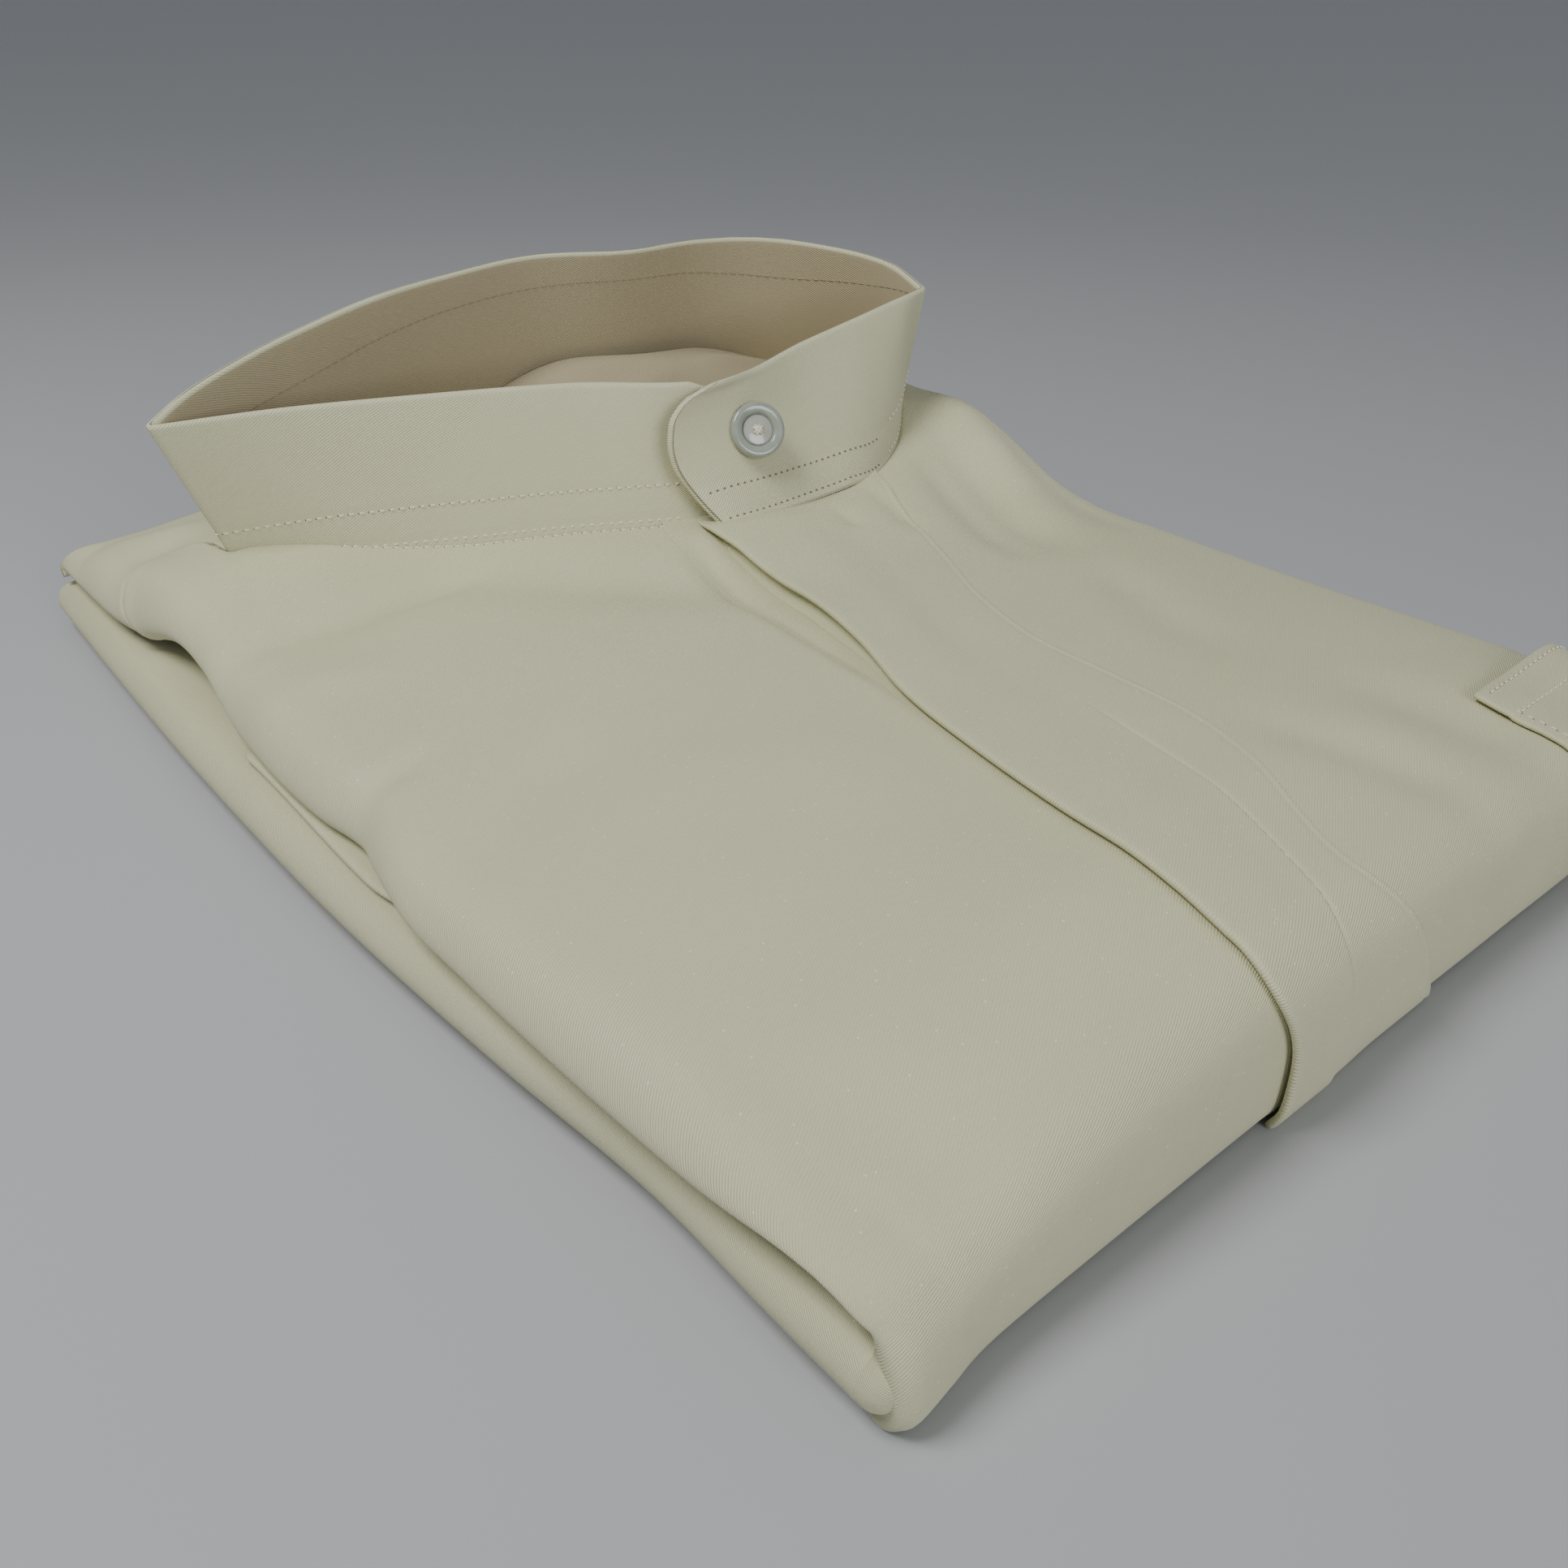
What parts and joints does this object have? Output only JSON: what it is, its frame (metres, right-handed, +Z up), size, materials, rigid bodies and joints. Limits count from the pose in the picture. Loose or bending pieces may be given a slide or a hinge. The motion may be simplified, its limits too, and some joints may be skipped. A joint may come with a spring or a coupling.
{
  "type": "folded thobe robe",
  "caption": "Men's cream thobe robe folded flat, stand collar with buttoned tab held open, concealed placket and chest pocket; rests on a flat underside.",
  "frame": {"origin": "on the table, under the middle of the folded package's bounding box", "axes": "+X across the package towards the wearer's left, +Y from the bottom fold to the collar, +Z up from the table"},
  "size_m": [0.2103, 0.291, 0.078],
  "materials": {
    "cloth": "cream twill with a soft satin sheen",
    "collar_cloth": "cream twill, fused and top-stitched",
    "inside_cloth": "cream twill, inner side",
    "button": "clear grey resin, polished"
  },
  "bodies": {
    "root": {"back_folded": "cloth", "front_right": "cloth", "front_left": "cloth", "yoke": "cloth", "back_neck": "inside_cloth", "placket": "cloth", "under_placket": "cloth", "pocket": "cloth", "sleeve_right": "cloth", "sleeve_left": "cloth", "collar_outer": "collar_cloth", "collar_inner": "inside_cloth", "button": "button"}
  },
  "joints": []
}
